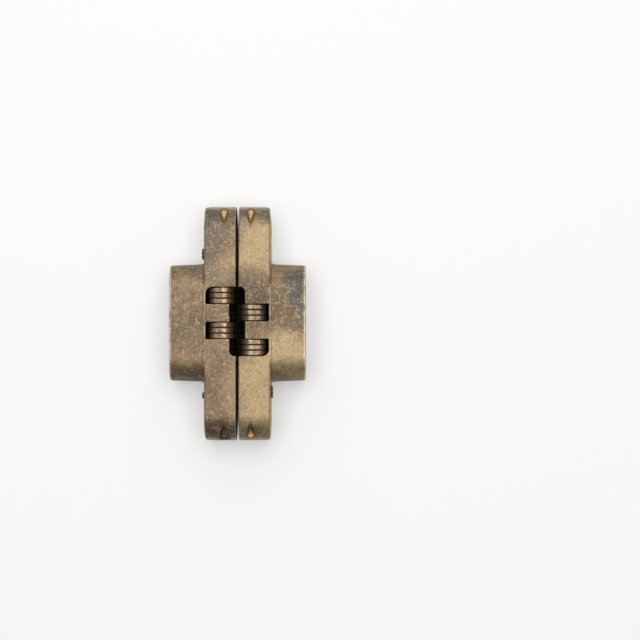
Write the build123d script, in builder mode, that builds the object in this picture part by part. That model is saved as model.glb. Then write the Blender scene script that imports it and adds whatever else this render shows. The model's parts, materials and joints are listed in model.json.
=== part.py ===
from build123d import *
import math
import os

# Concealed mortise hinge, shut: two die-cast casings face to face, joined by a scissor
# of laminated links. X runs across the hinge (left casing on -X), Y along it, and Z up
# through its thickness, with the knuckle side on top. The origin is the centre of the
# rectangle that the hinge lies on, on its plain flat side.

# ---- driving dimensions, mm ----
LENGTH = 69.85               # along the leaf, 2-3/4 in
THICK = 15.875               # across the leaf, 5/8 in
FACE_GAP = 0.7               # between the two faces when shut
CASE_DEPTH = 19.95           # face to the back of the casing body
FLANGE = 9.5                 # thickness of the flange that is screwed down
BODY_LEN = 35.3              # casing body just behind the flange
BODY_Y = 0.2                 # middle of the body, from the middle of the leaf
BODY_DRAFT = 0.35            # how far each side of the body leans in by its back
MID = THICK / 2              # height of the middle of the thickness
KNUCKLE_Y = 0.65             # middle of the links and their cavity, from the leaf's

# Linkage, given for the left casing, heights measured from MID. Each link turns on a
# fixed pin in one casing, crosses the other link at the centre pin and ends in a pin
# that slides in the other casing. The slide's path follows from these values.
FIXED_X = -3.95
FIXED_Z = 5.2
CENTRE_Z = -3.03             # centre pin when shut, halfway between the casings
LINK_TURN = 106.0            # turn of a link in the casing that it is pinned to
ARM_LEN = 14.05              # centre pin to sliding pin
ARM_TILT = -6.27             # lean of that arm when shut, degrees
FULL_OPEN = 180.0            # turn of one casing against the other

# Link plates
LANES = (7.7, 2.65, -2.65, -7.7)   # middles of the links' lanes, from KNUCKLE_Y
PLATES = 3                   # laminations in a link
PLATE = 1.58
PLATE_PITCH = 1.66
KNUCKLE_R = 2.6
HEEL = (-2.0, -0.5)          # heel of the knuckle, from the fixed pin
CENTRE_R = 2.15
TAIL_R = 1.95
PLATE_EDGE = 0.18

# Pins
FIXED_PIN_R = 1.3
CENTRE_PIN_R = 1.2
SLIDE_PIN_R = 1.2
TURN_FIT = 0.04              # radial clearance where a link turns on a pin
HELD_FIT = 0.01              # radial clearance where a pin is held still
PIN_EDGE = 0.3
PIN_END_GAP = 0.15           # centre and sliding pins, from their ends to the casing

# Casing
CAVITY_HALF = 10.25          # half the cavity's length
CAVITY_BACK = 17.4           # cavity's depth from the face
CAVITY_TOP = 6.2             # from MID
CAVITY_BOTTOM = -6.3
CAVITY_CORNER = 1.2
NOTCH_BACK = 9.0             # deep notches for the knuckles, from the face
NOTCH = 5.1                  # width of a deep notch
LAND_BACK = 1.95             # how far the lands beside them stand back from the face
DEEP_CORNER = 2.0            # rounding of the outermost corner of a deep notch
LAND_CORNER = 1.5            # and of a shallow one
GROOVE_DEPTH = 2.2           # groove in each end wall of the cavity
GROOVE_FIT = 0.17            # each side of the sliding pin
SCREW_SPACING = 54.0
SCREW_R = 2.2
SCREW_HEAD_R = 4.2
LEFT_STUBS = ((20.7, 1.8), (-21.3, 1.1))   # cast stubs on the flange's back: Y, radius
RIGHT_STUBS = ((-20.3, 2.0),)
STUB_Z = 4.8                 # from MID
STUB_H = 0.85
FOOT_FLARE = 0.3             # how far the body spreads where it joins the flange
FOOT_RUN = 1.4
STEP_DOWN = 0.07             # the body's flat sides lie this far below the flange's
FACE_EDGE = 0.25
FLANGE_EDGE = 0.5
BODY_EDGE = 0.12

# Where a fixed pin shows: its hole breaks out of the flange's round end as a drop
# shape, seen from above, and the pin's end fills a smaller drop just below the surface.
MOUTH_Y = 33.1               # middle of the drop's round end
MOUTH_R = 1.3
MOUTH_TIP_Y = 30.2
MOUTH_TIP_R = 0.3
MOUTH_FLOOR = 2.9            # drop's depth below the pin's middle
DROP_INSET = 0.12            # how much smaller the pin's drop is, each side
PIN_SUNK = 0.15              # how far the pin's end lies under the round end
SHORT_PIN_END = 30.6         # one pin stops short, without a drop

face_x = -FACE_GAP / 2
flange_x = face_x - FLANGE
back_x = face_x - CASE_DEPTH
fixed = Vector(FIXED_X, FIXED_Z + MID)
centre = Vector(0, CENTRE_Z + MID)
radius = (centre - fixed).length
start_angle = math.atan2(centre.Y - fixed.Y, centre.X - fixed.X)
cross_turn = FULL_OPEN - LINK_TURN


def slide_point(share):
    """The sliding pin in the left casing, from shut (0) to fully open (1), as X and Z."""
    turned = start_angle + math.radians(LINK_TURN) * share
    lean = math.radians(ARM_TILT + cross_turn * share)
    x = fixed.X + radius * math.cos(turned) - ARM_LEN * math.cos(lean)
    z = fixed.Y + radius * math.sin(turned) - ARM_LEN * math.sin(lean)
    return Vector(x, z)


def swapped(point):
    """The same point of an X-Z section, on the other side of the hinge."""
    return Vector(-point.X, point.Y)


def across(x):
    """A plane square to X at x, facing -X, level with MID, local x along Y, local y down."""
    return Plane(origin=(x, 0, MID), x_dir=(0, 1, 0), z_dir=(-1, 0, 0))


def section(y):
    """A plane square to Y at y, with local x along X and local y along Z."""
    return Plane.XZ.offset(-y)


def lane_y(lane):
    return KNUCKLE_Y + LANES[lane]


def drop(x, side, inset):
    """The drop shape in plan at one end of a fixed pin, as a sketch at Z = 0."""
    with BuildSketch() as made:
        with Locations((x, side * MOUTH_Y)):
            Circle(MOUTH_R - inset)
        with Locations((x, side * (MOUTH_TIP_Y + inset))):
            Circle(MOUTH_TIP_R)
        make_hull()
    return made.sketch


slide_shut = slide_point(0)
slide_open = slide_point(1)
tail = swapped(slide_shut)


# ---- casings ----
def casing(deep_lanes, stubs):
    """A casing in the left position, with deep notches at the lanes pinned to it."""
    notch_plane = Plane.XY.offset(MID + CAVITY_TOP - CAVITY_CORNER)
    with BuildPart() as made:
        with BuildSketch(across(face_x)):
            SlotOverall(LENGTH, THICK)
        extrude(amount=FLANGE)
        fillet(made.faces().sort_by(Axis.X)[0].edges(), FLANGE_EDGE)
        fillet(made.faces().sort_by(Axis.X)[-1].edges(), FACE_EDGE)

        # the body flares at its foot, then leans in slightly towards its back
        height = THICK - 2 * STEP_DOWN
        for x, growth in ((flange_x + FLANGE_EDGE, FOOT_FLARE), (flange_x, FOOT_FLARE),
                          (flange_x - FOOT_RUN, 0), (back_x, -BODY_DRAFT)):
            with BuildSketch(across(x)):
                with Locations((BODY_Y, 0)):
                    SlotOverall(BODY_LEN + 2 * growth, height + 2 * min(growth, 0))
        loft(ruled=True)
        fillet(made.faces().sort_by(Axis.X)[0].edges(), BODY_EDGE)

        with BuildSketch(across(flange_x)):
            for stub_y, stub_radius in stubs:
                with Locations((stub_y, -STUB_Z)):
                    Circle(stub_radius)
        extrude(amount=STUB_H)

        # cavity for the links, rounded at its back
        with BuildSketch(section(KNUCKLE_Y)):
            with Locations((face_x - CAVITY_BACK / 2, MID + (CAVITY_TOP + CAVITY_BOTTOM) / 2)):
                cavity = Rectangle(CAVITY_BACK, CAVITY_TOP - CAVITY_BOTTOM)
            fillet(cavity.vertices().group_by(Axis.X)[0], CAVITY_CORNER)
        extrude(amount=CAVITY_HALF, both=True, mode=Mode.SUBTRACT)

        # knuckle side: a shallow notch all along, deep ones at the lanes pinned here
        with BuildSketch(notch_plane):
            with Locations((face_x - LAND_BACK / 2, KNUCKLE_Y)):
                strip = Rectangle(LAND_BACK, 2 * CAVITY_HALF)
            fillet(strip.vertices().group_by(Axis.X)[0], LAND_CORNER)
        extrude(amount=THICK, mode=Mode.SUBTRACT)
        for lane in deep_lanes:
            with BuildSketch(notch_plane):
                with Locations((face_x - NOTCH_BACK / 2, lane_y(lane))):
                    notch = Rectangle(NOTCH_BACK, NOTCH)
                corners = notch.vertices().group_by(Axis.X)[0].sort_by(Axis.Y)
                if lane == 0:
                    fillet(corners[-1], DEEP_CORNER)
                if lane == len(LANES) - 1:
                    fillet(corners[0], DEEP_CORNER)
            extrude(amount=THICK, mode=Mode.SUBTRACT)

        # curved groove in each end wall, open at the face so that the pin can be fitted
        groove_w = 2 * (SLIDE_PIN_R + GROOVE_FIT)
        with BuildLine(Plane.XY) as track:
            ThreePointArc(slide_shut, slide_point(0.5), slide_open)
        for side in (-1, 1):
            with BuildSketch(section(KNUCKLE_Y + side * CAVITY_HALF)):
                SlotArc(track.line.edge(), groove_w)
                with Locations(((face_x + slide_open.X) / 2, slide_open.Y)):
                    Rectangle(face_x - slide_open.X, groove_w)
            extrude(amount=-side * GROOVE_DEPTH, mode=Mode.SUBTRACT)

        # fixed pin's hole, right through, with a drop-shaped mouth at each end
        with BuildSketch(section(0)):
            with Locations(fixed):
                Circle(FIXED_PIN_R + HELD_FIT)
        extrude(amount=LENGTH / 2, both=True, mode=Mode.SUBTRACT)
        with BuildSketch(Plane.XY.offset(fixed.Y - MOUTH_FLOOR)):
            for side in (-1, 1):
                add(drop(FIXED_X, side, 0))
        extrude(amount=THICK, mode=Mode.SUBTRACT)

        with Locations(Plane(origin=(face_x, 0, MID), x_dir=(0, 1, 0), z_dir=(1, 0, 0))):
            with Locations((SCREW_SPACING / 2, 0), (-SCREW_SPACING / 2, 0)):
                CounterSinkHole(SCREW_R, SCREW_HEAD_R, depth=FLANGE + STUB_H)
    return made


casing_left = casing(deep_lanes=(0, 2), stubs=LEFT_STUBS)
with BuildPart() as casing_right:
    add(casing(deep_lanes=(1, 3), stubs=RIGHT_STUBS).part.mirror(Plane.YZ))


# ---- pins ----
def pin(pin_radius, spot, low, high):
    """A round pin along Y, from low to high, with softened ends."""
    with BuildPart() as made:
        with BuildSketch(section((low + high) / 2)):
            with Locations(spot):
                Circle(pin_radius)
        extrude(amount=(high - low) / 2, both=True)
        fillet(made.edges().filter_by(GeomType.CIRCLE), PIN_EDGE)
    return made


def fixed_pin(spot, drop_sides):
    """A fixed pin. At the given sides it ends in a drop that follows the round end."""
    low = -MOUTH_Y - MOUTH_R if -1 in drop_sides else -SHORT_PIN_END
    high = MOUTH_Y + MOUTH_R if 1 in drop_sides else SHORT_PIN_END
    with BuildPart() as made:
        with BuildSketch(section((low + high) / 2)):
            with Locations(spot):
                Circle(FIXED_PIN_R)
        extrude(amount=(high - low) / 2, both=True)
        for side in drop_sides:
            with BuildSketch(Plane.XY.offset(spot.Y - MOUTH_FLOOR + HELD_FIT)):
                add(drop(spot.X, side, DROP_INSET))
            extrude(amount=THICK)
        with BuildSketch(across(LENGTH / 2)):
            SlotOverall(LENGTH - 2 * PIN_SUNK, THICK - 2 * PIN_SUNK)
        extrude(amount=LENGTH, mode=Mode.INTERSECT)
    return made


# ---- link plates ----
def plate(y, turn):
    """One lamination at y. turn is identity or swapped, for links pinned left or right."""
    heel = fixed + Vector(*HEEL)
    arms = (((heel, KNUCKLE_R), (fixed, KNUCKLE_R)),
            ((fixed, KNUCKLE_R), (centre, CENTRE_R)),
            ((centre, CENTRE_R), (tail, TAIL_R)))
    holes = ((fixed, FIXED_PIN_R + TURN_FIT),
             (centre, CENTRE_PIN_R + TURN_FIT),
             (tail, SLIDE_PIN_R + HELD_FIT))
    with BuildPart() as made:
        with BuildSketch(section(y)):
            for ends in arms:
                with BuildSketch(mode=Mode.PRIVATE) as arm:
                    for point, r in ends:
                        with Locations(turn(point)):
                            Circle(r)
                    make_hull()
                add(arm.sketch)
        extrude(amount=PLATE / 2, both=True)
        chamfer(made.faces().filter_by(Axis.Y).edges(), PLATE_EDGE)
        with BuildSketch(section(y)):
            for point, r in holes:
                with Locations(turn(point)):
                    Circle(r)
        extrude(amount=PLATE, both=True, mode=Mode.SUBTRACT)
    return made


def unchanged(point):
    return point


centre_half = CAVITY_HALF - PIN_END_GAP
slide_half = CAVITY_HALF + GROOVE_DEPTH - PIN_END_GAP


def inner_pin(pin_radius, spot, half):
    return pin(pin_radius, spot, KNUCKLE_Y - half, KNUCKLE_Y + half)


pieces = {
    "casing_left": casing_left,
    "casing_right": casing_right,
    "fixed_pin_left": fixed_pin(fixed, (1,)),
    "fixed_pin_right": fixed_pin(swapped(fixed), (-1, 1)),
    "centre_pin": inner_pin(CENTRE_PIN_R, centre, centre_half),
    "sliding_pin_left": inner_pin(SLIDE_PIN_R, slide_shut, slide_half),
    "sliding_pin_right": inner_pin(SLIDE_PIN_R, tail, slide_half),
}

for lane in range(len(LANES)):
    word, turn = (("left", unchanged), ("right", swapped))[lane % 2]
    for layer in range(PLATES):
        y = lane_y(lane) + (1 - layer) * PLATE_PITCH
        pieces[f"{word}_link_{lane // 2 + 1}_plate_{layer + 1}"] = plate(y, turn)

os.makedirs("parts", exist_ok=True)
for name, piece in pieces.items():
    piece.part.label = name
    export_step(piece.part, f"parts/{name}.step")
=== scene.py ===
import json

import bpy
import numpy as np
from mathutils import Matrix, Vector, noise


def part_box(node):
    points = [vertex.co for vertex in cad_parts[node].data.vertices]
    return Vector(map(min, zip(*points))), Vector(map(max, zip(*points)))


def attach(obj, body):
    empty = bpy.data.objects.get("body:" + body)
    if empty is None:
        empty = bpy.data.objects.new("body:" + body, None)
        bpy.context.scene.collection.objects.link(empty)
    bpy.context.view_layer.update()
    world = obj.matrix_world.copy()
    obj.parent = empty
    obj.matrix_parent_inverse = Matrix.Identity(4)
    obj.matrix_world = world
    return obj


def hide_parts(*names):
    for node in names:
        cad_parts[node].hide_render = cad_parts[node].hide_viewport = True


# A worn concealed hinge, shut and lying on a white table. Its meshes and materials are
# worked out in mm; Blender's objects, lights and camera are in metres.
MM = 0.001
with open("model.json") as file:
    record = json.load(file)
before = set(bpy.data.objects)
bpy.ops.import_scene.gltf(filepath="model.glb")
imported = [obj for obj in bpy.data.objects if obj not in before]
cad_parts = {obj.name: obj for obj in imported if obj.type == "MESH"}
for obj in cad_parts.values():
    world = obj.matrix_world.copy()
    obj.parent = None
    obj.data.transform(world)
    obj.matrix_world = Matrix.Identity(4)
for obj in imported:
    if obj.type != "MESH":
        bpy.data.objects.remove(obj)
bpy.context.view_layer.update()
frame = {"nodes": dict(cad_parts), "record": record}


def in_mm(point):
    return np.array(point) / MM


# ---- places, in mm: read from the frame, or depths that the casing's box doesn't show ----
FIXED_PIN_R = 1.3
PIN_END_GAP = 0.15                  # from the centre pin's ends to the cavity's walls
case_lo, case_hi = (in_mm(p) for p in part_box("casing_left"))
centre_lo, centre_hi = (in_mm(p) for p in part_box("centre_pin"))
seat = next(m for m in frame["record"]["mounts"] if m["name"] == "flange_seat_right")
TOP = case_hi[2]
MIDDLE = TOP / 2
LEAF_END = case_hi[1]
FACE = -case_hi[0]                  # each face's distance from the joint's middle
BACK = -case_lo[0]                  # and each casing's back
FLANGE_BACK = seat["pos_m"][0] / MM
BODY_HALF = 17.6                    # half the body's length along the leaf
DROP_Y = LEAF_END - 1.9             # middle of the round part of each pin's drop-shaped mouth
DROP_TAPER = 0.4                    # how fast the drop narrows towards its tip
FIXED_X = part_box("fixed_pin_right")[1][0] / MM - FIXED_PIN_R
KNUCKLE_MID = (centre_lo[1] + centre_hi[1]) / 2
CAVITY_HALF = (centre_hi[1] - centre_lo[1]) / 2 + PIN_END_GAP
GROOVE_REACH = 2.4                  # from the cavity's ends past the grooves in its end walls
CAVITY_TOP = MIDDLE + 6.2
CAVITY_BOTTOM = MIDDLE - 6.3
CAVITY_BACK = FACE + 17.4
CAVITY_MARGIN = 0.3                 # how far the painted shade in the cavity reaches past its walls
FACE_MARGIN = 0.25                  # and how far it stops short of the face

# ---- wear, in mm ----
CASTING_VOXEL = 0.2                 # size of the even faces of each kind of piece
PLATE_VOXEL = 0.13
PIN_VOXEL = 0.12
FULL_RUB = 0.12                     # convexity of an edge that is rubbed all the way
SKIN_DEPTH = 0.02                   # the cast skin's mean depth, and its unevenness
WAVE_DEPTH = 0.02
GRIT_DEPTH = 0.012
SAND_DEPTH = 0.008
BODY_SET_BACK = 0.09                # the body stands this far back from the flange
NICK_DEPTH = 0.10
CHIP_DEPTH = 0.34
CORNER_RUN = 4.5                    # how far from its ends the flange's corners are rubbed
CORNER_FADE = 4.0                   # and over what length
CORNER_WEAR = 0.12
MOST_CORNER_WEAR = 0.45             # added at the most rubbed corner
STUB_WEAR = 0.12
STUB_BREAK = 0.3
PLATE_SWELL = 0.012                 # makes up for what smoothing takes off a plate
PIN_SKIN = 0.006
RIVET_SWELL = 0.14                  # how much a fixed pin's ends are spread
RIVET_RUN = 5.5                     # from the leaf's end to where they start to spread


# ---- meshes: fine, even, with worn edges ----
def smoothstep(x, low, high):
    t = np.clip((x - low) / (high - low), 0, 1)
    return t * t * (3 - 2 * t)


def grain(points, size, seed):
    """Perlin noise at each point, about -1 to 1, with features of this size in mm."""
    shift = Vector((seed * 17.3, seed * 5.1, seed * 29.7))
    return np.array([noise.noise(Vector(p) / size + shift) for p in points])


def read_mesh(mesh):
    """A mesh's points, normals and edges, as arrays with a row for each."""
    count = len(mesh.vertices)
    points = np.empty(count * 3)
    mesh.vertices.foreach_get("co", points)
    normals = np.empty(count * 3)
    mesh.vertices.foreach_get("normal", normals)
    edges = np.empty(len(mesh.edges) * 2, int)
    mesh.edges.foreach_get("vertices", edges)
    return points.reshape(-1, 3), normals.reshape(-1, 3), edges.reshape(-1, 2)


def neighbour_mean(values, edges):
    """The mean of each vertex's neighbours, for numbers or rows of numbers."""
    total = np.zeros_like(values)
    np.add.at(total, edges[:, 0], values[edges[:, 1]])
    np.add.at(total, edges[:, 1], values[edges[:, 0]])
    count = np.bincount(edges.ravel(), minlength=len(values)).astype(float)
    return total / (count if values.ndim == 1 else count[:, None])


def spread(values, edges, rounds):
    """The values blurred over the surface."""
    for _ in range(rounds):
        values = (values + neighbour_mean(values, edges)) / 2
    return values


def convexity(points, normals, edges, voxel, rounds):
    """About 0 on flat ground, towards 1 on rubbed outer edges, below 0 in inner corners."""
    lift = ((points - neighbour_mean(points, edges)) * normals).sum(1) / voxel
    return spread(lift, edges, rounds)


def fine_mesh(node, name, voxel, rounds):
    """The CAD node's shape, in mm, as small even faces with its edges rubbed round."""
    source = frame["nodes"][node]
    coarse = source.data.copy()
    coarse.transform(Matrix.Scale(1 / MM, 4))
    holder = bpy.data.objects.new(name, coarse)
    bpy.context.scene.collection.objects.link(holder)
    remesh = holder.modifiers.new("even", "REMESH")
    remesh.mode = "VOXEL"
    remesh.voxel_size = voxel
    soften = holder.modifiers.new("soften", "SMOOTH")
    soften.factor = 0.5
    soften.iterations = rounds
    graph = bpy.context.evaluated_depsgraph_get()
    mesh = bpy.data.meshes.new_from_object(holder.evaluated_get(graph))
    mesh.name = name
    mesh.materials.clear()
    bpy.data.objects.remove(holder)
    return mesh


def store(mesh, name, values):
    layer = mesh.attributes.new(name, "FLOAT", "POINT")
    layer.data.foreach_set("value", values.astype(np.float32))


def finish_piece(mesh, points, node, body, material):
    """Writes the points back in metres and sets the piece on its body."""
    mesh.vertices.foreach_set("co", (points * MM).ravel())
    mesh.shade_smooth()
    mesh.update()
    mesh.materials.append(material)
    piece = bpy.data.objects.new(mesh.name, mesh)
    bpy.context.scene.collection.objects.link(piece)
    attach(piece, body)
    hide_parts(node)


def worn_casing(node, body, material):
    mesh = fine_mesh(node, node + "_cast", CASTING_VOXEL, rounds=3)
    points, normals, edges = read_mesh(mesh)
    rub = convexity(points, normals, edges, CASTING_VOXEL, rounds=4)
    x, y, z = np.abs(points[:, 0]), points[:, 1], points[:, 2]
    away = np.abs(y)

    # cast skin: shallow waves and fine grit, nearly all inwards
    sink = SKIN_DEPTH + WAVE_DEPTH * grain(points, size=5.0, seed=1)
    sink += GRIT_DEPTH * grain(points, size=1.1, seed=2)
    sink += SAND_DEPTH * grain(points, size=0.45, seed=3)
    sink += BODY_SET_BACK * smoothstep(x, FLANGE_BACK, FLANGE_BACK + 0.25)
    # nicks along the outer edges, and chips out of the flange's back edges
    ridge = smoothstep(rub, 0.03, 0.12)
    nick = smoothstep(grain(points, size=1.3, seed=4), 0.05, 0.5)
    sink += ridge * nick * NICK_DEPTH
    at_back = smoothstep(x, FLANGE_BACK - 0.9, FLANGE_BACK - 0.3)
    off_body = smoothstep(away, BODY_HALF + 0.4, BODY_HALF + 1.2)
    chips = smoothstep(grain(points, size=1.9, seed=5), 0.0, 0.45)
    sink += at_back * off_body * ridge * chips * CHIP_DEPTH
    # the flange's back corners are rubbed round at its ends, one of them most
    corner = np.clip((away - LEAF_END + CORNER_RUN) / CORNER_FADE, 0, 1.2) ** 1.3
    corner *= smoothstep(x, FLANGE_BACK - 2, FLANGE_BACK)
    most_rubbed = smoothstep(points[:, 0], 0, 1) * smoothstep(y, 0, 1)
    corner *= CORNER_WEAR + MOST_CORNER_WEAR * most_rubbed
    sink += corner * (1 + grain(points, size=3.0, seed=9))
    # the cast stubs on the flange's back are rough and broken
    stub = smoothstep(x, FLANGE_BACK + 0.1, FLANGE_BACK + 0.3) * off_body
    broken = np.clip(grain(points, size=0.8, seed=10), -0.3, 1)
    sink += stub * (STUB_WEAR + STUB_BREAK * broken)
    points = points - normals * sink[:, None]

    # the cavity's inside, which the casing's material paints dark as shade
    inside = (
        (x > FACE + FACE_MARGIN)
        & (x < CAVITY_BACK + CAVITY_MARGIN)
        & (np.abs(y - KNUCKLE_MID) < CAVITY_HALF + GROOVE_REACH)
        & (z > CAVITY_BOTTOM - CAVITY_MARGIN)
        & (z < CAVITY_TOP + CAVITY_MARGIN)
    )
    round_side = smoothstep(1 - np.abs(normals[:, 0]), 0.1, 0.5)
    store(mesh, "rub", np.clip(rub / FULL_RUB, -1, 1))
    store(mesh, "cavity_shade", spread(inside.astype(float), edges, rounds=3))
    # where the painted highlight along the back edges goes
    store(mesh, "back_edge", smoothstep(x, BACK - 0.75, BACK - 0.4) * round_side)
    store(mesh, "stub", stub)
    finish_piece(mesh, points, node, body, material)


def worn_plate(node, body, material):
    mesh = fine_mesh(node, node + "_stamped", PLATE_VOXEL, rounds=5)
    points, normals, edges = read_mesh(mesh)
    rub = convexity(points, normals, edges, PLATE_VOXEL, rounds=2)
    sink = 0.008 * grain(points, size=0.9, seed=6) + 0.004 * grain(points, size=0.35, seed=7)
    sink -= PLATE_SWELL
    points = points - normals * sink[:, None]
    store(mesh, "rub", np.clip(rub / FULL_RUB, -1, 1))
    finish_piece(mesh, points, node, body, material)


def worn_pin(node, body, material):
    mesh = fine_mesh(node, node + "_turned", PIN_VOXEL, rounds=2)
    points, normals, edges = read_mesh(mesh)
    rub = convexity(points, normals, edges, PIN_VOXEL, rounds=2)
    sink = PIN_SKIN + PIN_SKIN * grain(points, size=0.7, seed=8)
    # a fixed pin's ends are riveted out to fill their mouths
    if node.startswith("fixed"):
        at_end = smoothstep(np.abs(points[:, 1]), LEAF_END - RIVET_RUN, LEAF_END - RIVET_RUN + 0.5)
        sink -= RIVET_SWELL * at_end
    points = points - normals * sink[:, None]
    store(mesh, "rub", np.clip(rub / FULL_RUB, -1, 1))
    finish_piece(mesh, points, node, body, material)


# ---- materials ----
def set_range(node, from_min, from_max, to_min, to_max):
    """Sets what a Map Range node reads and what it gives."""
    numbers = {"From Min": from_min, "From Max": from_max, "To Min": to_min, "To Max": to_max}
    for socket, number in numbers.items():
        node.inputs[socket].default_value = number


class Shader:
    """A metal's node tree, with one short method for each kind of node it uses."""

    def __init__(self, name):
        self.material = bpy.data.materials.new(name)
        self.material.use_nodes = True
        self.tree = self.material.node_tree
        self.bsdf = self.tree.nodes["Principled BSDF"]
        coords = self.tree.nodes.new("ShaderNodeTexCoord")
        scaled = self.tree.nodes.new("ShaderNodeVectorMath")
        scaled.operation = "SCALE"
        scaled.inputs["Scale"].default_value = 1 / MM
        self.put(scaled.inputs[0], coords.outputs["Object"])
        self.mm = scaled.outputs["Vector"]

    def put(self, socket, value):
        if isinstance(value, bpy.types.NodeSocket):
            self.tree.links.new(value, socket)
        else:
            socket.default_value = value

    def vector(self, operation, a, b=(0, 0, 0)):
        node = self.tree.nodes.new("ShaderNodeVectorMath")
        node.operation = operation
        self.put(node.inputs[0], a)
        self.put(node.inputs[1], b)
        return node.outputs["Value" if operation == "DISTANCE" else "Vector"]

    def math(self, operation, a, b=0.0):
        node = self.tree.nodes.new("ShaderNodeMath")
        node.operation = operation
        self.put(node.inputs[0], a)
        self.put(node.inputs[1], b)
        return node.outputs[0]

    def times(self, a, b):
        return self.math("MULTIPLY", a, b)

    def magnitude(self, value):
        """The value without its sign."""
        return self.math("ABSOLUTE", value)

    def noise(self, size, seed, detail=4.0, stretch=(1, 1, 1), rough=0.55, slant=0.0):
        """Noise from 0 to 1 with features of this size in mm, drawn out by stretch."""
        moved = self.vector("ADD", self.mm, (seed * 31.7, seed * 11.3, seed * 7.9))
        if slant:
            turned = self.tree.nodes.new("ShaderNodeVectorRotate")
            turned.rotation_type = "Z_AXIS"
            turned.inputs["Angle"].default_value = slant
            self.put(turned.inputs["Vector"], moved)
            moved = turned.outputs["Vector"]
        shaped = self.vector("MULTIPLY", moved, tuple(1 / (size * s) for s in stretch))
        node = self.tree.nodes.new("ShaderNodeTexNoise")
        node.inputs["Scale"].default_value = 1
        node.inputs["Detail"].default_value = detail
        node.inputs["Roughness"].default_value = rough
        self.put(node.inputs["Vector"], shaped)
        return node.outputs["Fac"]

    def ramp(self, value, low, high, to=1.0, start=0.0):
        """From start, where the value is low, smoothly to another number where it is high."""
        node = self.tree.nodes.new("ShaderNodeMapRange")
        node.interpolation_type = "SMOOTHSTEP"
        self.put(node.inputs["Value"], value)
        set_range(node, low, high, start, to)
        return node.outputs["Result"]

    def mix(self, a, b, share):
        node = self.tree.nodes.new("ShaderNodeMix")
        node.data_type = "RGBA"
        self.put(node.inputs["Factor"], share)
        self.put(node.inputs[6], a)
        self.put(node.inputs[7], b)
        return node.outputs[2]

    def attribute(self, name):
        node = self.tree.nodes.new("ShaderNodeAttribute")
        node.attribute_name = name
        return node.outputs["Fac"]

    def along(self, axis):
        """Where the point is along X, Y or Z when shut, in mm."""
        node = self.tree.nodes.new("ShaderNodeSeparateXYZ")
        self.put(node.inputs[0], self.mm)
        return node.outputs[axis]

    def from_drop(self):
        """How far out from the middle of a pin's drop-shaped mouth, in mm, narrower at its tip."""
        parts = self.tree.nodes.new("ShaderNodeSeparateXYZ")
        self.put(parts.inputs[0], self.vector("ABSOLUTE", self.mm))
        sideways = self.math("SUBTRACT", parts.outputs["X"], FIXED_X)
        inward = self.math("SUBTRACT", DROP_Y, parts.outputs["Y"])
        taper = self.times(self.math("MAXIMUM", inward), DROP_TAPER)
        outward = self.math("MINIMUM", inward)
        squares = [self.times(part, part) for part in (sideways, outward)]
        reach = self.math("POWER", self.math("ADD", *squares), 0.5)
        return self.math("ADD", reach, taper)

    def patch(self, centre, reach, edge, wobble=0.0):
        """1 within reach of a point, fading to 0 over edge, its border pushed about by noise."""
        far = self.vector("DISTANCE", self.mm, centre)
        pushed = self.math("ADD", far, self.times(wobble, edge * 2.0))
        return self.ramp(pushed, reach + edge * 2.0, reach)

    def bump(self, height, depth, normal=None):
        """A bump of this depth in mm, on top of another if one is given."""
        node = self.tree.nodes.new("ShaderNodeBump")
        node.inputs["Strength"].default_value = 1
        node.inputs["Distance"].default_value = depth * MM
        self.put(node.inputs["Height"], height)
        if normal is not None:
            self.put(node.inputs["Normal"], normal)
        return node.outputs["Normal"]

    def finish(self, colour, rough, normal, metallic, darkening):
        """Sets the metal's look; where darkened it turns dull and dark: painted shade in the
        casing's cavity and the links' throat, and the short pin's darker end.
        """
        clean = self.math("SUBTRACT", 1.0, darkening)
        self.put(self.bsdf.inputs["Base Color"], self.mix(colour, DULL_DARK, darkening))
        self.put(self.bsdf.inputs["Roughness"], rough)
        self.put(self.bsdf.inputs["Normal"], normal)
        self.put(self.bsdf.inputs["Metallic"], self.times(clean, metallic))
        self.put(self.bsdf.inputs["Specular IOR Level"], self.times(clean, 0.5))
        return self.material


def linear(red, green, blue):
    """A colour given as it shows on a screen, 0 to 255."""
    parts = [c / 255 for c in (red, green, blue)]
    return [c / 12.92 if c <= 0.04045 else ((c + 0.055) / 1.055) ** 2.4 for c in parts] + [1]


# the casings' finish
BROWN = linear(105, 87, 67)
TAN = linear(122, 104, 80)
YELLOW = linear(162, 140, 103)
PURPLE = linear(106, 87, 73)
UMBER = linear(66, 51, 38)
SLATE = linear(84, 84, 80)
TEAL = linear(72, 76, 76)
BRASS = linear(190, 170, 134)
PALE = linear(174, 154, 126)
OLIVE = linear(128, 118, 84)
# dull dark brown: painted shade in the casing's cavity and the links' throat, and the short pin's
# darker end
DULL_DARK = linear(34, 27, 22)
# pale: the leaf's round ends, rubbed metal and a painted highlight
LEAF_END_RUB_AND_HIGHLIGHT = linear(196, 178, 152)
# pale: a painted highlight along the casing's rounded back edges
BACK_EDGE_HIGHLIGHT = linear(206, 190, 164)
# golden brown: painted shade round each drop's mouth
DROP_MOUTH_SHADE = linear(112, 88, 56)
DARK_MOUTH = linear(70, 50, 40)
STUB = linear(62, 48, 38)
# the links
COPPER = linear(150, 122, 98)
GREY_COPPER = linear(118, 112, 98)
ROSE = linear(164, 128, 110)
MOSS = linear(140, 130, 84)
BURNT = linear(84, 64, 50)
CREAM = linear(188, 164, 140)
LINK_EDGE = linear(66, 50, 40)
# the pins
PIN_GOLD = linear(216, 190, 126)
PIN_ROSE = linear(224, 178, 136)
PIN_STAIN = linear(96, 72, 48)
PIN_BRIGHT = linear(214, 190, 140)
# dull gold: painted shade towards the edge of each pin's end
PIN_EDGE_SHADE = linear(116, 90, 54)

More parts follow.
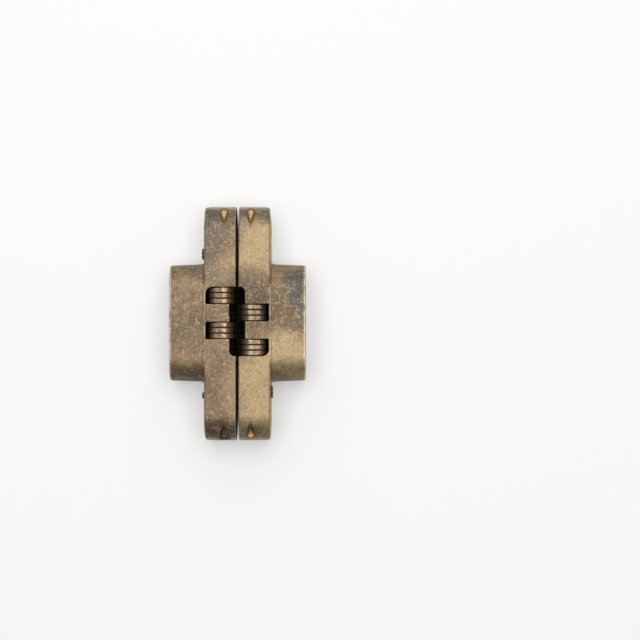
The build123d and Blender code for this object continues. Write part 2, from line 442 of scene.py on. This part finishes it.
# Where the finish has rubbed to yellow or darkened: centre and reach in mm, and share.
# The later patches lie over the earlier ones.
PATCH_EDGE = 2.2
PATCHES = (
    (YELLOW, (
        ((4.5, 24, 16), 6.0, 0.95), ((7.5, 16, 16), 3.0, 0.6), ((5.5, -20, 16), 8.0, 0.85),
        ((-3, 17, 16), 2.2, 0.4), ((14, -10, 16), 5.5, 0.95), ((-14, -9, 16), 4.0, 0.35),
        ((-16, 8, 16), 3.0, 0.25), ((14, 15, 14), 3.0, 0.4), ((-14, 15, 14), 3.0, 0.2),
        ((6, -29, 16), 4.5, 0.5), ((17, -14, 12), 3.0, 0.5),
    )),
    (SLATE, (
        ((-8.6, 30, 15), 4.0, 0.85), ((-9.2, 22.5, 15), 2.2, 0.7), ((-3, 29, 16), 3.0, 0.5),
        ((2.5, 31, 15), 1.8, 0.3), ((-6, 14, 16), 2.5, 0.2),
    )),
    (PURPLE, (
        ((-15.5, 1, 16), 8.0, 0.4), ((6, 2.5, 16), 2.5, 0.5), ((-5, -8, 16), 5.0, 0.4),
        ((-5, -24, 16), 5.0, 0.3), ((-5.5, 26, 16), 3.5, 0.55), ((-2, 23.5, 16), 1.5, 0.6),
        ((3.5, 10.5, 16), 4.5, 0.6), ((12.5, 7, 16), 5.5, 0.5), ((-6, -18, 16), 4.0, 0.3),
    )),
    (TEAL, (
        ((20, 11, 15), 3.8, 0.95), ((20.5, 3, 15), 2.2, 0.5), ((9.5, 33, 12), 2.2, 0.6),
    )),
    (UMBER, (
        ((-15.5, 1, 16), 8.0, 0.2), ((3.5, 10.5, 16), 4.5, 0.2), ((12.5, 7, 16), 5.5, 0.2),
        ((6, 2.5, 16), 2.5, 0.2), ((-5, -22, 16), 6.0, 0.15), ((-5, -33, 12), 3.5, 0.7),
        ((12, -17, 10), 3.5, 0.5), ((-13, -17, 10), 4.0, 0.5), ((4, 6, 16), 5.5, 0.4),
        ((-13, 17, 11), 2.5, 0.3), ((5, -34, 10), 2.5, 0.5),
    )),
)
# thin scratches: seed, slant in radians, tint
SCRATCHES = ((31, 0.9, UMBER), (32, 1.9, BRASS), (33, 1.25, UMBER))
SCRATCH_SHARE = 0.22
# lines along the flange's back edge, a painted highlight on the edge (partly rubbed metal) and
# painted shade at the step down to the body: place and half width in mm, tint, share
STEP_LIGHT_AND_SHADE_LINES = ((FLANGE_BACK - 0.1, 0.3, BRASS, 0.5), (FLANGE_BACK + 0.35, 0.28, UMBER, 0.3))


def casing_material():
    s = Shader("antique_bronze_casting")
    broad = s.noise(size=8.0, seed=1, detail=6, rough=0.6)
    middle = s.noise(size=2.4, seed=2, detail=8, rough=0.7)
    small = s.noise(size=0.9, seed=3, detail=6, rough=0.65)
    fine = s.noise(size=0.4, seed=4, detail=4, rough=0.6)
    streak = s.noise(size=0.7, seed=5, detail=6, stretch=(0.8, 4, 2), rough=0.6)

    colour = s.mix(BROWN, TAN, s.ramp(broad, 0.42, 0.6, to=0.8))
    colour = s.mix(colour, PURPLE, s.ramp(s.noise(size=3.5, seed=6, detail=6), 0.48, 0.62, to=0.7))
    colour = s.mix(colour, OLIVE, s.ramp(s.noise(size=2.8, seed=7, detail=6), 0.5, 0.64, to=0.6))
    for tint, spots in PATCHES:
        for centre, reach, share in spots:
            area = s.patch(centre, reach, PATCH_EDGE, wobble=s.math("SUBTRACT", middle, 0.5))
            colour = s.mix(colour, tint, s.times(area, share))

    # mottling from coarse to fine: a noise, its tint, where the tint starts and is full, share
    for cloud, tint, start, full, share in (
        (middle, YELLOW, 0.53, 0.62, 0.6), (middle, PURPLE, 0.48, 0.36, 0.32),
        (streak, UMBER, 0.56, 0.7, 0.26), (streak, BRASS, 0.42, 0.3, 0.34),
        (small, UMBER, 0.52, 0.68, 0.46), (small, PALE, 0.47, 0.32, 0.55),
        (fine, BRASS, 0.58, 0.7, 0.4), (fine, UMBER, 0.43, 0.3, 0.42),
    ):
        colour = s.mix(colour, tint, s.ramp(cloud, start, full, to=share))

    worn = s.ramp(s.noise(size=5.0, seed=8, detail=3), 0.44, 0.58)
    for seed, slant, tint in SCRATCHES:
        drawn = s.noise(size=1.6, seed=seed, detail=2, stretch=(1, 9, 3), slant=slant)
        level = s.magnitude(s.math("SUBTRACT", drawn, 0.5))
        mark = s.times(s.ramp(level, 0.02, 0.004), worn)
        colour = s.mix(colour, tint, s.times(mark, SCRATCH_SHARE))

    # edges rubbed bright and inner corners darker, then the leaf's round ends palest: rubbed metal
    # and a painted highlight
    rub = s.attribute("rub")
    rubbed = s.times(s.ramp(rub, 0.25, 0.9), s.ramp(middle, 0.38, 0.56, start=0.3))
    colour = s.mix(colour, BRASS, s.times(rubbed, 0.7))
    colour = s.mix(colour, UMBER, s.ramp(rub, -0.15, -0.7, to=0.7))
    end_rub_and_highlight = s.ramp(s.magnitude(s.along("Y")), LEAF_END - 1.5, LEAF_END - 0.3)
    end_rub_and_highlight = s.times(end_rub_and_highlight, s.ramp(small, 0.4, 0.56, to=0.6, start=0.2))
    colour = s.mix(colour, LEAF_END_RUB_AND_HIGHLIGHT, end_rub_and_highlight)

    # painted highlight along the flange's back edge, partly rubbed metal, and painted shade at the
    # step down to the body
    across = s.magnitude(s.along("X"))
    for place, width, tint, share in STEP_LIGHT_AND_SHADE_LINES:
        off = s.magnitude(s.math("SUBTRACT", across, place))
        line = s.times(s.ramp(off, width, 0), s.ramp(middle, 0.42, 0.54, start=0.15))
        colour = s.mix(colour, tint, s.times(line, share))
    # a painted highlight along the casing's rounded back edges, broken up by the mottling
    back_edge = s.times(s.attribute("back_edge"), s.ramp(middle, 0.4, 0.52, start=0.2))
    colour = s.mix(colour, BACK_EDGE_HIGHLIGHT, s.times(back_edge, 0.8))

    # painted shade: a golden-brown ring round each drop's mouth on the knuckle side; and the short
    # pin's mouth dark
    upper = s.ramp(s.along("Z"), MIDDLE + 4, MIDDLE + 6)
    mouth_shade = s.times(s.ramp(s.from_drop(), 2.1, 1.55), upper)
    colour = s.mix(colour, DROP_MOUTH_SHADE, s.times(mouth_shade, 0.85))
    mouth = s.patch((-FIXED_X, -DROP_Y + 0.7, MIDDLE + 2.5), reach=2.6, edge=0.25)
    colour = s.mix(colour, DARK_MOUTH, s.times(mouth, 0.85))
    colour = s.mix(colour, STUB, s.attribute("stub"))

    rough = s.ramp(middle, 0.35, 0.7, start=0.44, to=0.6)
    rough = s.math("SUBTRACT", rough, s.times(rubbed, 0.1))
    normal = s.bump(small, depth=0.05)
    normal = s.bump(fine, depth=0.035, normal=normal)
    # painted shade: the cavity's inside is painted dark and dull
    painted_shade = s.times(s.attribute("cavity_shade"), 0.92)
    return s.finish(colour, rough, normal, metallic=0.65, darkening=painted_shade)


# heights where the links' painted shade starts, is full, begins to thin and is thinnest, in mm
SHADE_TOP = MIDDLE + 5.3
SHADE_FULL = MIDDLE + 3.8
SHADE_THINS = MIDDLE - 2.2
SHADE_THIN = MIDDLE - 4.5


def link_material():
    s = Shader("copper_brown_link")
    broad = s.noise(size=2.2, seed=11, detail=5)
    small = s.noise(size=0.5, seed=12, detail=5)
    along = s.noise(size=0.5, seed=13, detail=4, stretch=(4, 0.5, 4))
    # each lamination has its own tint, and the right links' are greyer
    layer = s.noise(size=0.9, seed=15, detail=0, stretch=(9, 1, 9))
    greyer = s.ramp(s.along("X"), -1, 1, to=0.75, start=0.2)
    colour = s.mix(COPPER, GREY_COPPER, greyer)
    colour = s.mix(colour, ROSE, s.ramp(layer, 0.5, 0.62, to=0.6))
    colour = s.mix(colour, MOSS, s.ramp(broad, 0.5, 0.64, to=0.6))
    colour = s.mix(colour, BURNT, s.ramp(along, 0.5, 0.66, to=0.55))
    colour = s.mix(colour, CREAM, s.ramp(small, 0.44, 0.34, to=0.4))
    colour = s.mix(colour, LINK_EDGE, s.ramp(s.attribute("rub"), 0.2, 0.8, to=0.25))

    rough = s.ramp(small, 0.35, 0.65, start=0.2, to=0.45)
    normal = s.bump(s.noise(size=1.0, seed=16, detail=3), depth=0.09)
    normal = s.bump(along, depth=0.03, normal=normal)
    normal = s.bump(small, depth=0.03, normal=normal)

    # painted shade down in the throat and between the knuckles; it thins on the arms below it
    depth = s.ramp(s.along("Z"), SHADE_TOP, SHADE_FULL)
    inner = s.ramp(s.magnitude(s.along("X")), 1.7, 1.2)
    reach = s.ramp(s.along("Z"), SHADE_THINS, SHADE_THIN, start=1.0, to=0.5)
    painted_shade = s.times(s.math("MAXIMUM", depth, inner), reach)
    return s.finish(colour, rough, normal, metallic=0.85, darkening=painted_shade)


def pin_material():
    s = Shader("copper_pin")
    small = s.noise(size=0.6, seed=21, detail=5)
    side = s.ramp(s.along("X"), -1, 1)
    colour = s.mix(PIN_GOLD, PIN_ROSE, side)
    colour = s.mix(colour, PIN_STAIN, s.ramp(small, 0.5, 0.66, to=0.6))
    colour = s.mix(colour, PIN_BRIGHT, s.ramp(small, 0.44, 0.32, to=0.5))
    # painted shade: the pin's end stays bright in the middle of the drop and turns dull gold
    # towards its edge
    colour = s.mix(colour, PIN_EDGE_SHADE, s.ramp(s.from_drop(), 0.5, 0.95))
    rough = s.ramp(small, 0.35, 0.7, start=0.34, to=0.5)
    # the short pin's end is darker down in its hole
    dark_end = s.patch((-FIXED_X, -LEAF_END + 4, MIDDLE + 5), reach=4.0, edge=0.5)
    normal = s.bump(small, depth=0.03)
    return s.finish(colour, rough, normal, metallic=0.9, darkening=s.times(dark_end, 0.7))


casing_metal = casing_material()
link_metal = link_material()
pin_metal = pin_material()

for body, nodes in frame["record"]["behaviour"]["bodies"].items():
    for node in nodes:
        if node.startswith("casing"):
            worn_casing(node, body, casing_metal)
        elif "plate" in node:
            worn_plate(node, body, link_metal)
        else:
            worn_pin(node, body, pin_metal)


# ---- floor: white paper with a faint glow, in metres ----
FLOOR_HALF = 1.5
PAPER = (0.54, 0.54, 0.543, 1)
PAPER_GLOW = (1, 0.995, 0.985, 1)
GLOW_STRENGTH = 0.34
GLOW_SHADE = 0.02                   # how near the hinge has to be to shut the glow off

floor_mesh = bpy.data.meshes.new("floor")
corners = [(x * FLOOR_HALF, y * FLOOR_HALF, 0) for x, y in ((-1, -1), (1, -1), (1, 1), (-1, 1))]
floor_mesh.from_pydata(corners, [], [(0, 1, 2, 3)])
floor = bpy.data.objects.new("floor", floor_mesh)
bpy.context.scene.collection.objects.link(floor)
paper = bpy.data.materials.new("white_paper")
paper.use_nodes = True
paper_look = paper.node_tree.nodes["Principled BSDF"].inputs
paper_look["Base Color"].default_value = PAPER
paper_look["Roughness"].default_value = 0.9
paper_look["Emission Color"].default_value = PAPER_GLOW
# the glow is shut off where the hinge stands right over the paper
covered = paper.node_tree.nodes.new("ShaderNodeAmbientOcclusion")
covered.inputs["Distance"].default_value = GLOW_SHADE
glow = paper.node_tree.nodes.new("ShaderNodeMapRange")
set_range(glow, 0.06, 0.3, 0.0, GLOW_STRENGTH)
paper.node_tree.links.new(covered.outputs["AO"], glow.inputs["Value"])
paper.node_tree.links.new(glow.outputs["Result"], paper_look["Emission Strength"])
floor_mesh.materials.append(paper)

# ---- light: a soft sky, brightest high on the window's side, and two softboxes ----
SKY_SIDE = (0, 0.45, 0.9)
SKY_COLOUR = (1, 0.99, 0.98, 1)
SKY_LOW = 0.10
SKY_HIGH = 0.40
AIM = Vector((0, 0, 0))             # what both softboxes point at

scene = bpy.context.scene
world = bpy.data.worlds.new("studio")
scene.world = world
world.use_nodes = True
sky = world.node_tree
direction = sky.nodes.new("ShaderNodeTexCoord")
height = sky.nodes.new("ShaderNodeVectorMath")
height.operation = "DOT_PRODUCT"
height.inputs[1].default_value = Vector(SKY_SIDE).normalized()
fade = sky.nodes.new("ShaderNodeMapRange")
set_range(fade, -0.3, 0.9, SKY_LOW, SKY_HIGH)
sky.links.new(direction.outputs["Generated"], height.inputs[0])
sky.links.new(height.outputs["Value"], fade.inputs["Value"])
sky.links.new(fade.outputs["Result"], sky.nodes["Background"].inputs["Strength"])
sky.nodes["Background"].inputs["Color"].default_value = SKY_COLOUR


def softbox(name, place, size, power):
    """A square lamp pointed at AIM, its place and size in metres, its power in watts."""
    lamp = bpy.data.lights.new(name, "AREA")
    lamp.size = size
    lamp.energy = power
    holder = bpy.data.objects.new(name, lamp)
    holder.location = place
    holder.rotation_euler = (AIM - Vector(place)).to_track_quat("-Z", "Y").to_euler()
    scene.collection.objects.link(holder)


softbox("overhead", (0.0, 0.14, 0.9), size=0.9, power=7.4)
softbox("window", (0.0, 0.8, 0.5), size=0.9, power=2.9)

scene.view_settings.view_transform = "Standard"

# ---- camera: straight down, with the hinge left of the middle, in metres ----
CAMERA_X = 0.0245
CAMERA_Y = 0.0011
HEIGHT = 0.600                      # above the hinge's top
WIDTH = 0.1892                      # what the frame takes in at that distance
SENSOR = 36                         # mm
lens = bpy.data.cameras.new("camera")
lens.sensor_width = SENSOR
lens.lens = SENSOR * HEIGHT / WIDTH
camera = bpy.data.objects.new("camera", lens)
camera.location = (CAMERA_X, CAMERA_Y, TOP * MM + HEIGHT)
scene.collection.objects.link(camera)
scene.camera = camera
